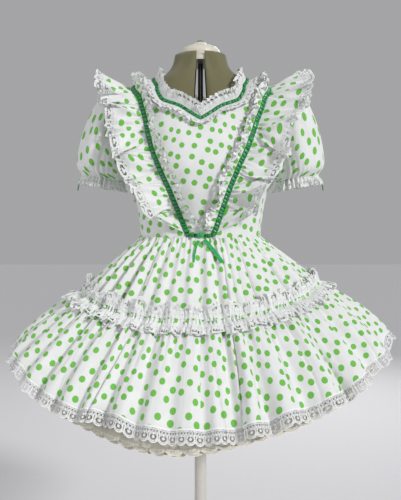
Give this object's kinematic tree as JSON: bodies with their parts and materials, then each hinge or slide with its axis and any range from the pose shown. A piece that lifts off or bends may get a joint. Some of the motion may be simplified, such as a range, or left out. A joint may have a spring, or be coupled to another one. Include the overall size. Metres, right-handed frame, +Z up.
{
  "type": "frilled dress on a dress form",
  "caption": "Short-sleeved white dress with green dots, lace and green ribbon, on a limbless dress form.",
  "frame": {"origin": "centre of the stand base's underside, on the floor", "axes": "+Z up along the pole, -Y out of the dress's front, +X to the right of someone who faces the front"},
  "size_m": [0.8997, 0.6706, 1.5],
  "materials": {
    "dotted_cotton": "matte white cotton with green dots",
    "white_lace": "matte",
    "green_satin": "satin sheen",
    "ivory_net": "stiff net",
    "olive_jersey": "matte jersey over a shell",
    "cream_plastic": "satin",
    "grey_plastic": "satin",
    "bright_steel": "bright",
    "painted_iron": "satin"
  },
  "bodies": {
    "root": {"bodice_front": "dotted_cotton", "bodice_back_left": "dotted_cotton", "bodice_back_right": "dotted_cotton", "sleeve_left": "dotted_cotton", "sleeve_right": "dotted_cotton", "wing_left": "dotted_cotton", "wing_right": "dotted_cotton", "inner_frill_left": "dotted_cotton", "inner_frill_right": "dotted_cotton", "skirt_upper": "dotted_cotton", "skirt_lower": "dotted_cotton", "tier_frill": "dotted_cotton", "cuff_lace_left": "white_lace", "cuff_lace_right": "white_lace", "wing_lace_left": "white_lace", "wing_lace_right": "white_lace", "neck_lace": "white_lace", "neck_flounce": "white_lace", "tier_lace_upper": "white_lace", "tier_lace_lower": "white_lace", "hem_lace_left": "white_lace", "hem_lace_right": "white_lace", "neck_ribbon": "green_satin", "strap_ribbon_left": "green_satin", "strap_ribbon_right": "green_satin", "tie_knot": "green_satin", "tie_band_left": "green_satin", "tie_band_right": "green_satin", "tie_tail_left": "green_satin", "tie_tail_right": "green_satin", "underskirt": "ivory_net", "underskirt_lace": "ivory_net", "form_front_left": "olive_jersey", "form_front_right": "olive_jersey", "form_back_left": "olive_jersey", "form_back_right": "olive_jersey", "form_cap": "cream_plastic", "form_hub_upper": "cream_plastic", "form_knob": "grey_plastic", "form_rod": "bright_steel", "form_pole": "painted_iron", "form_hub_lower": "painted_iron", "form_base": "painted_iron"}
  },
  "joints": []
}
